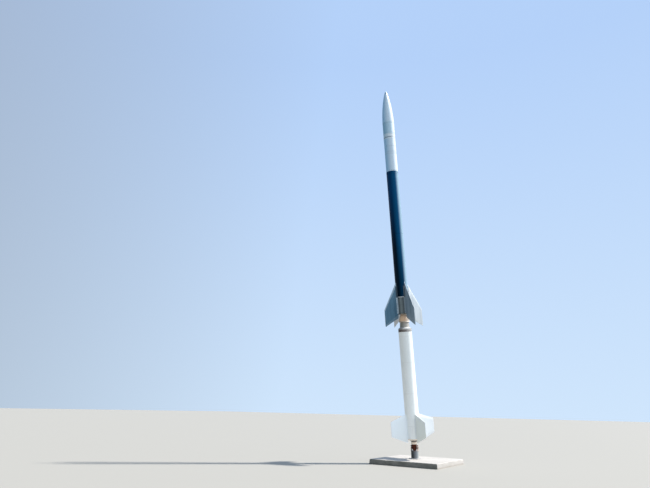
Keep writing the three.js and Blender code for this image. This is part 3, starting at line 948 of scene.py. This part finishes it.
def makeFoot(values):
    top = spanOf("tail_stub")[1]
    work = copyNode("tail_stub", fromAxis)
    softenEdges(work, values["edge"], 2, 40)
    stubRadius = max(radiiBetween([v.co for v in work.verts], top - 0.004))
    addBead(work, stubRadius + 0.001, top - 0.003, values["beadSize"])
    finishPiece(work, "rustedStub", "rustedSteel", stand, "tail_stub")

    foot, top, radius = spanOf("mount_ring")
    middle = (foot + top) / 2
    groove = values["ringGroove"]
    ring = turnPiece([
        (0, foot), (radius, foot), (radius, middle - groove), (radius - groove, middle - groove),
        (radius - groove, middle), (radius, middle), (radius, top), (0, top),
    ], values["steps"])
    softenEdges(ring, values["ringEdge"], 2, 50)
    domeRing(ring, *values["ringBolt"], values["ringBolts"], radius, (foot + middle) / 2)
    finishPiece(ring, "mountRing", "creamPaint", stand, "mount_ring")

    foot, top, radius = spanOf("booster_nozzle")
    rim = spanOf("booster_aft_skirt")[0]
    throat = radius * values["throat"]
    low = rim - values["rimFrom"]
    high = low + values["rimHeight"]
    nozzle = turnPiece([
        (0, foot), (radius * values["exitPart"], foot),
        (radius * values["flarePart"], rim - values["flareBelow"]), (radius, low), (radius, high),
        (throat, high + 0.004), (throat, top), (0, top),
    ], values["steps"])
    softenEdges(nozzle, values["edge"], 2, 40)
    finishPiece(nozzle, "boosterNozzle", "recessSteel", stand, "booster_nozzle")

    bolts = startPiece()
    for place in ringOf(values["closureBolts"], values["closureRadius"], top):
        addHex(bolts, moved(*place.translation) @ rotated(pi, "X"), *values["closureBolt"])
    finishPiece(bolts, "aftClosureBolts", "recessSteel", stand)


makeFoot(footValues)

# Booster: skirt, case and head band

boosterValues = {
    "line": (0.0022, 0.005), "recess": 0.205, "bandHeight": 0.0018, "bandFoot": 0.058, "bandTop": 0.012,
    "rimHeight": 0.004, "skirtScrews": 32, "headScrews": 36, "skirtLines": (0.045,),
    "caseLines": ((0.012, -0.15, -0.05), (0.34, 0.67)), "lipHeight": 0.0022, "lipWidth": 0.02,
    "footRing": 0.0016, "footRingTop": 0.038, "skirtScrew": (0.0065, 0.004), "screwTurn": 0.06,
    "ringScrew": (0.005, 0.003), "headScrew": (0.0055, 0.003), "headScrewsBelow": (0.1, 0.026),
    "headNut": (0.0075, 0.006, 1.35),
}


def makeBooster(values):
    foot, top, radius = spanOf("booster_aft_skirt")
    recess = spanOf("booster_nozzle")[1]
    rim, inner = values["rimHeight"], values["recess"]
    bandFoot, bandTop = top - values["bandFoot"], top - values["bandTop"]
    band = radius + values["bandHeight"]
    atFoot = [(0, recess), (inner, recess), (inner, foot), (radius - rim, foot)]
    atTop = [(band, bandFoot + 0.002), (band, bandTop), (radius, bandTop + 0.002), (radius, top), (0, top)]
    lines = lineStations(foot, top, values["skirtLines"])
    skirt = bodyPiece(radius, foot + rim, bandFoot, lines, values["line"], atFoot, atTop)
    finishPiece(skirt, "boosterSkirt", "whitePaint", stand, "booster_aft_skirt")
    screws = startPiece()
    count, turn = values["skirtScrews"], values["screwTurn"]
    domeRing(screws, *values["skirtScrew"], count, band, (bandFoot + bandTop) / 2, turn)
    proud = radius + values["footRing"]
    ringTop = foot + values["footRingTop"]
    footRing = trimRing(radius - rim, radius - 0.001, proud, foot + 0.001, ringTop, 0.002)
    domeRing(footRing, *values["ringScrew"], count, proud, foot + 0.02, turn)
    finishPiece(footRing, "boosterFootRing", "creamPaint", stand)

    foot, top, radius = spanOf("booster_case")
    case = bodyPiece(radius, foot, top, lineStations(foot, top, *values["caseLines"]), values["line"])
    finishPiece(case, "boosterCase", "whitePaint", stand, "booster_case")
    count = values["headScrews"]
    for i, below in enumerate(values["headScrewsBelow"]):
        domeRing(screws, *values["headScrew"], count, radius, top - below, i * pi / count)
    finishPiece(screws, "boosterScrews", "whitePaint", stand)

    foot, top, radius = spanOf("booster_head_band")
    lip, waist = radius + values["lipHeight"], radius - values["lipHeight"]
    wide = values["lipWidth"]
    headBand = turnPiece([
        (0, foot), (radius, foot), (radius, foot + 0.006), (lip, foot + 0.008), (lip, foot + 0.006 + wide),
        (waist, foot + 0.009 + wide), (waist, top - 0.009 - wide), (lip, top - 0.006 - wide),
        (lip, top - 0.008), (radius, top - 0.006), (radius, top), (0, top),
    ])
    for place in ringOf(count, waist, (foot + top) / 2):
        addHex(headBand, place, *values["headNut"])
    finishPiece(headBand, "boosterHeadBand", "bandMetal", stand, "booster_head_band")


makeBooster(boosterValues)

# Adapter between the stages: a shoulder, then a neck whose cone seats in the nozzle above

adapterValues = {
    "rim": 0.034, "screws": 24, "screwsUp": 0.018, "ribWidth": 0.01, "ribHeight": 0.0018,
    "ribsFromEnds": (0.045, 0.03), "coneStep": 0.0075, "edge": 0.0016, "screwTurn": 0.1,
    "shoulderScrew": (0.007, 0.005), "neckScrew": (0.006, 0.004),
}


def makeAdapter(values):
    foot, top, radius = spanOf("adapter_shoulder")
    neckFoot, neckTop, neckRadius = spanOf("adapter_neck")
    rim = foot + values["rim"]
    work = turnPiece([
        (0, foot), (radius, foot), (radius, rim), (radius - 0.008, rim + 0.003),
        (neckRadius + 0.006, top - 0.004), (neckRadius + 0.003, top), (0, top),
    ])
    softenEdges(work, values["edge"], 2, 22)
    count, up, turn = values["screws"], values["screwsUp"], values["screwTurn"]
    domeRing(work, *values["shoulderScrew"], count, radius, foot + up, turn)
    finishPiece(work, "adapterShoulder", "shoulderPaint", stand, "adapter_shoulder")

    points = pointsOf("adapter_neck")
    seat = max(radiiBetween(points, neckTop - 0.004))
    collar = min(p.z for p in points if p.z > neckFoot + 0.02)
    collarRadius = max(radiiBetween(points, collar - 0.001, collar + 0.001))
    half, height = values["ribWidth"] / 2, values["ribHeight"]
    fromFoot, fromTop = values["ribsFromEnds"]
    side = []
    for station in (neckFoot + fromFoot, collar - fromTop):
        spread = neckRadius + (collarRadius - neckRadius) * (station - neckFoot) / (collar - neckFoot)
        side += [(spread, station - half), (spread + height, station - half * 0.6)]
        side += [(spread + height, station + half * 0.6), (spread, station + half)]
    neck = turnPiece([
        (0, neckFoot), (neckRadius, neckFoot), *side, (collarRadius, collar - 0.002),
        (collarRadius - 0.004, collar), (seat + values["coneStep"], collar), (seat, neckTop), (0, neckTop),
    ])
    domeRing(neck, *values["neckScrew"], count, neckRadius, neckFoot + up, turn)
    finishPiece(neck, "adapterNeck", "neckPaint", stand, "adapter_neck")


makeAdapter(adapterValues)
print("booster modelled")

# Fins: the solids' blades and root angles with softened edges, bolts and rivet rows

finValues = {
    "booster": {
        "node": "booster_fin", "body": stand, "shell": "booster_case",
        "finishes": ("finWhite", "finWhite", "finWhiteLit", "finWhite"), "edge": 0.0025,
        "boltRadius": 0.0075, "rivetRadius": 0.0035,
    },
    "upper": {
        "node": "upper_fin", "body": upperMotor, "shell": "motor_case",
        "finishes": ("finSunlit", "finBackLit", "finShade", "finMidShade"), "edge": 0.002,
        "boltRadius": 0.0062, "rivetRadius": 0.0032, "paintedFrom": "tail_ring",
    },
}
angleValues = {
    "thick": 0.006, "footWidth": 0.04, "legHeight": 0.046, "boltStep": 0.085, "boltHeight": 0.005,
    "rivetStep": 0.052, "rivetHeight": 0.0018, "fromBevel": 0.16, "fromTip": 0.024,
}


def rowPlaces(start, end, step, direction):
    count = max(2, round((end - start).length / step))
    turn = direction.to_track_quat("Z", "X").to_matrix().to_4x4()
    return [Matrix.Translation(start.lerp(end, (i + 0.5) / count)) @ turn for i in range(count)]


# Rivet rows along a blade's front, rear and tip, on one side. root and tip are the blade's end corners.
def addRivets(work, side, root, tip, values):
    near = max(p.x for p in root) + angleValues["legHeight"] + 0.02
    far = max(p.x for p in tip) - angleValues["fromTip"]
    ends = []
    for corners, reach in ((root, near), (tip, far)):
        front, rear = max(p.z for p in corners), min(p.z for p in corners)
        inset = angleValues["fromBevel"] * (front - rear)
        out = side * max(p.y for p in corners)
        ends.append((Vector((reach, out, front - inset)), Vector((reach, out, rear + inset))))
    (nearFront, nearRear), (farFront, farRear) = ends
    for start, end in ((nearFront, farFront), (nearRear, farRear), (farFront, farRear)):
        for spot in rowPlaces(start, end, angleValues["rivetStep"], Vector((0, side, 0))):
            addDome(work, spot, values["rivetRadius"], angleValues["rivetHeight"], 6)


def addAngleBolts(work, side, radius, half, foot, top, values):
    count = round((top - foot) / angleValues["boltStep"])
    thick, size = angleValues["thick"], (values["boltRadius"], angleValues["boltHeight"])
    footTurn = side * asin((half + thick + angleValues["footWidth"]) / 2 / radius)
    outward = Vector((0, side, 0)).to_track_quat("Z", "X").to_matrix().to_4x4()
    for i in range(count):
        station = foot + (top - foot) * (i + 0.5) / count
        addDome(work, aroundAxis(radius + thick, footTurn, station), *size)
        leg = moved(radius + thick + angleValues["legHeight"] / 2, side * (half + thick), station)
        addDome(work, leg @ outward, *size)


# The root angles take the fin's edge colour below the station from which they are painted and are dark
# above it: lighter than the blade on most fins, with a painted highlight on the shaded fin and a painted
# shadow on the near fin.
def markAngles(work, reach, half, paintedFrom):
    for face in work.faces:
        centre = face.calc_center_median()
        if centre.x < reach and abs(centre.y) > half + 0.003:
            markFaces(work, "seam" if centre.z > paintedFrom else "wear", [face], 0.9)


def makeFins(stage, values):
    radius = spanOf(values["shell"])[2]
    paintedFrom = spanOf(values["paintedFrom"])[0] if "paintedFrom" in values else inf
    for number, finish in enumerate(values["finishes"], 1):
        node = f"{values['node']}_{number}"
        points = pointsOf(node)
        angle = atan2(sum(p.y for p in points), sum(p.x for p in points))
        work = copyNode(node, rotated(-angle, "Z") @ fromAxis)
        corners = [v.co.copy() for v in work.verts]
        tipOf = max(p.x for p in corners)
        rootOf = min(p.x for p in corners if abs(p.y) < 0.005)
        root = [p for p in corners if abs(p.x - rootOf) < 0.002 and abs(p.y) < 0.019]
        tip = [p for p in corners if p.x > tipOf - 0.002]
        angled = [p.z for p in corners if abs(p.y) > 0.03]
        half = max(p.y for p in root)
        work.normal_update()
        # The blades' bevelled front and rear faces take the edge colour: partly rubbed edges, partly a
        # painted highlight where the bevel catches the sky.
        for face in work.faces:
            if abs(face.normal.y) > 0.9 and abs(face.normal.z) > 0.03:
                markFaces(work, "wear", [face], 0.6 if face.normal.z > 0 else 0.2)
        legs = radius + angleValues["thick"] + angleValues["legHeight"]
        if paintedFrom < inf:
            bmesh.ops.bisect_plane(work, geom=[*work.verts, *work.edges, *work.faces],
                                   plane_co=(0, 0, paintedFrom), plane_no=(0, 0, 1))
        markAngles(work, legs, half, paintedFrom)
        softenEdges(work, values["edge"], 2, 12)
        place = toAxis @ rotated(angle, "Z")
        finishPiece(work, f"{stage}Fin{number}", finish, values["body"], node, place, 5)
        fasteners = startPiece()
        for side in (1, -1):
            addAngleBolts(fasteners, side, radius, half, min(angled), max(angled), values)
        markAngles(fasteners, legs, half, paintedFrom)
        for side in (1, -1):
            addRivets(fasteners, side, root, tip, values)
        finishPiece(fasteners, f"{stage}FinBolts{number}", finish, values["body"], None, place)


for stage, values in finValues.items():
    makeFins(stage, values)
print("fins modelled")

# Upper motor: nozzle, tail can, ring, case and head band

nozzleValues = {
    "outerSteps": 22, "innerSteps": 10, "seatHeight": 0.096, "seatTaper": 0.1125, "waistPart": 1.0114,
    "waistHeight": 0.149, "neckBelowCan": 0.021, "neckRound": 0.004, "flareRadius": 0.096,
    "flareBelowTop": 0.142, "throatRadius": 0.048, "throatBelowTop": 0.116, "throatDepth": 0.012,
    "lighterBelowCan": 0.036,
}


# Points of a curve from start to end that leans towards a control point.
def easeCurve(start, control, end, steps):
    points = []
    for i in range(steps + 1):
        t = i / steps
        parts = zip(start, control, end)
        points.append(tuple((1 - t) ** 2 * a + 2 * t * (1 - t) * c + t * t * b for a, c, b in parts))
    return points


def makeNozzle(values):
    foot, top, radius = spanOf("nozzle_bell")
    lipFoot, lipTop, lipRadius = spanOf("nozzle_lip")
    canFoot = spanOf("tail_can")[0]
    points = pointsOf("nozzle_bell")
    exitInner = min(radiiBetween(points, -inf, foot + 0.001))
    neckRadius = max(radiiBetween(points, top - 0.001))
    throat = top - values["throatBelowTop"]
    inner = easeCurve(
        (exitInner - values["seatHeight"] * values["seatTaper"], foot + values["seatHeight"]),
        (values["flareRadius"], top - values["flareBelowTop"]), (values["throatRadius"], throat),
        values["innerSteps"],
    )
    outer = easeCurve(
        (radius - values["neckRound"] / 2, lipTop + values["neckRound"]),
        (radius * values["waistPart"], lipTop + values["waistHeight"]),
        (neckRadius + values["neckRound"], canFoot - values["neckBelowCan"]),
        values["outerSteps"],
    )
    work = turnPiece([
        (0, throat + values["throatDepth"]), *reversed(inner), (exitInner, foot), (radius, foot),
        (radius, lipTop), *outer, (neckRadius, canFoot - 0.01), (neckRadius, top), (0, top),
    ])
    # Faces just under the can take the paint's bare colour: a lighter, greyer band round the bell's top.
    lighterFrom = canFoot - values["lighterBelowCan"]
    lighterBand = [f for f in work.faces if lighterFrom < f.calc_center_median().z < canFoot]
    markFaces(work, "wear", lighterBand, 0.9)
    finishPiece(work, "nozzleBell", "nozzleTan", upperMotor, "nozzle_bell", smooth=50)

    seat = radius + 0.0003
    lip = turnPiece([
        (seat, lipFoot), (lipRadius - 0.003, lipFoot), (lipRadius, lipFoot + 0.003),
        (lipRadius, lipTop - 0.009), (lipRadius - 0.003, lipTop - 0.006), (lipRadius - 0.004, lipTop),
        (seat, lipTop),
    ], closed=True)
    softenEdges(lip, 0.001, 1, 40)
    finishPiece(lip, "nozzleLip", "lipPaint", upperMotor, "nozzle_lip")


makeNozzle(nozzleValues)

# Spigots between the sections, on the motor's head and on the forward payload section.
spigotValues = {
    "radius": 0.19, "edge": 0.004, "socketGap": 0.0003, "socketDepth": 0.066, "socketRadius": 0.1915,
}


def spigotProfile(shoulder, top):
    radius, edge = spigotValues["radius"], spigotValues["edge"]
    return [(radius, shoulder), (radius, top - edge), (radius - edge, top), (0, top)]


def socketProfile(foot):
    deep, wide = foot + spigotValues["socketDepth"], spigotValues["socketRadius"]
    return [(0, deep), (wide, deep), (wide, foot)]


motorValues = {
    "line": (0.002, 0.005), "recess": 0.198, "rim": 0.003, "screws": 40, "canScrew": (0.0052, 0.003),
    "headPin": (0.006, 0.0035), "headPinsUp": 0.052, "canScrewRows": ((0.022, -0.02), 0.04),
    "canLines": ((0.045, -0.04), (0.55,)), "caseLines": ((0.03, 0.11, -0.018), (0.5,)),
    "headLines": (0.03, -0.022),
}


def makeMotor(values):
    line, rim, inner, count = values["line"], values["rim"], values["recess"], values["screws"]
    foot, top, radius = spanOf("tail_can")
    ceiling = spanOf("nozzle_bell")[1]
    atFoot = [(0, ceiling), (inner, ceiling), (inner, foot), (radius - rim, foot)]
    lines = lineStations(foot, top, *values["canLines"])
    can = bodyPiece(radius, foot + rim, top, lines, line, atFoot)
    finishPiece(can, "tailCan", "canMetal", upperMotor, "tail_can")
    screws = startPiece()
    rows, turn = values["canScrewRows"]
    for i, station in enumerate(lineStations(foot, top, rows)):
        domeRing(screws, *values["canScrew"], count, radius, station, i * turn)
    finishPiece(screws, "tailCanScrews", "screwMetal", upperMotor)

    foot, top, radius = spanOf("tail_ring")
    ring = turnPiece([
        (0, foot), (radius, foot), (radius + rim, foot + rim), (radius + rim, top - rim), (radius, top),
        (0, top),
    ])
    finishPiece(ring, "tailRing", "brightMetal", upperMotor, "tail_ring")

    foot, top, radius = spanOf("motor_case")
    case = bodyPiece(radius, foot, top, lineStations(foot, top, *values["caseLines"]), line)
    finishPiece(case, "motorCase", "blackPaint", upperMotor, "motor_case")

    foot, top, _ = spanOf("motor_head_band")
    shoulder = spanOf("payload_aft")[0] - spigotValues["socketGap"]
    lines = lineStations(foot, shoulder, values["headLines"])
    head = bodyPiece(radius, foot, shoulder, lines, line, None, spigotProfile(shoulder, top))
    finishPiece(head, "motorHeadBand", "blackPaint", upperMotor, "motor_head_band")
    pins = startPiece()
    domeRing(pins, *values["headPin"], count, radius, foot + values["headPinsUp"])
    finishPiece(pins, "motorHeadScrews", "blackPaint", upperMotor)


makeMotor(motorValues)
print("upper motor modelled")

# Payload sections, with a dark clamp ring and a light ring under the band, and the nose

payloadValues = {
    "line": (0.0024, 0.007), "edge": 0.0024, "screws": 24, "screwSize": (0.0058, 0.0028),
    "ringHeight": 0.0022, "ringWidth": 0.036, "screwRows": (0.018, -0.02),
    "sections": (
        # node, piece, finish, lines cut round it (above its foot, or below its top if negative)
        ("payload_aft", "payloadAft", "payloadPaint", (0.035, -0.04)),
        ("payload_mid", "payloadMid", "payloadPaint", (0.038, 0.26)),
        ("payload_band", "payloadBand", "payloadLight", (0.06, -0.03)),
        ("payload_fore", "payloadFore", "payloadDark", (0.04, -0.05)),
    ),
}


def makePayload(values):
    radius = spanOf("payload_mid")[2]
    edge, count = values["edge"], values["screws"]
    screws = startPiece()
    for node, name, finish, lines in values["sections"]:
        foot, top, _ = spanOf(node)
        atFoot = socketProfile(foot) if node == "payload_aft" else [(0, foot)]
        atTop = [(0, top)]
        if node == "payload_fore":
            spigotTop, top = top, spanOf("nose_ogive")[0] - spigotValues["socketGap"]
            atTop = spigotProfile(top, spigotTop)
        work = bodyPiece(radius, foot + edge, top - edge, lineStations(foot, top, lines), values["line"],
                         [*atFoot, (radius - edge, foot)], [(radius - edge, top), *atTop])
        finishPiece(work, name, finish, payload, node)
        for i, station in enumerate(lineStations(foot, top, values["screwRows"])):
            domeRing(screws, *values["screwSize"], count, radius, station, i * pi / count)
    finishPiece(screws, "payloadScrews", "payloadLight", payload)

    joint = spanOf("payload_band")[0]
    wide, proud = values["ringWidth"], radius + values["ringHeight"]
    rings = (("clampRing", "clampDark", joint), ("lightRing", "payloadLight", joint - wide))
    for name, finish, foot in rings:
        ring = trimRing(radius - edge, proud - 0.001, proud, foot + 0.001, foot + wide - 0.001, 0.001)
        finishPiece(ring, name, finish, payload)


makePayload(payloadValues)

noseValues = {"fullness": 0.28, "steps": 60, "tipSteps": 18, "tipRound": 64, "seamDepth": 0.0016}


def makeNose(values):
    foot, _, radius = spanOf("nose_ogive")
    tipFoot, tipTop, _ = spanOf("nose_tip")
    length = tipTop - foot

    # The nose's radius at a station, on the same curve as the solid.
    def curveRadius(station):
        theta = acos(max(-1.0, 1 - 2 * (tipTop - station) / length))
        area = theta - sin(2 * theta) / 2 + values["fullness"] * sin(theta) ** 3
        return radius * sqrt(max(area, 0) / pi)

    def curve(low, high, steps):
        stations = [low + (high - low) * i / steps for i in range(steps + 1)]
        return [(curveRadius(station), station) for station in stations]

    edge = payloadValues["edge"]
    ogive = turnPiece([
        *socketProfile(foot), (radius - edge, foot), *curve(foot + edge, tipFoot - 0.002, values["steps"]),
        (curveRadius(tipFoot) - values["seamDepth"], tipFoot), (0, tipFoot),
    ])
    finishPiece(ogive, "noseOgive", "payloadPaint", nose, "nose_ogive", smooth=25)
    tip = turnPiece([(0, tipFoot), *curve(tipFoot, tipTop, values["tipSteps"])], values["tipRound"])
    finishPiece(tip, "noseTip", "tipMetal", nose, "nose_tip", smooth=30)
    screws = startPiece()
    domeRing(screws, *payloadValues["screwSize"], payloadValues["screws"], radius - 0.0004, foot + 0.02)
    finishPiece(screws, "noseScrews", "payloadLight", nose)


makeNose(noseValues)
print("payload and nose modelled")


def layFloor(values):
    work = bmesh.new()
    bmesh.ops.create_grid(work, x_segments=1, y_segments=1, size=values["floorSize"] / 2)
    material = newMaterial("studioFloor")
    look = {"Base Color": values["floorColour"], "Roughness": values["floorRoughness"]}
    setShader(material.node_tree, look)
    newObject(work, "studioFloor", material)


layFloor(studio)
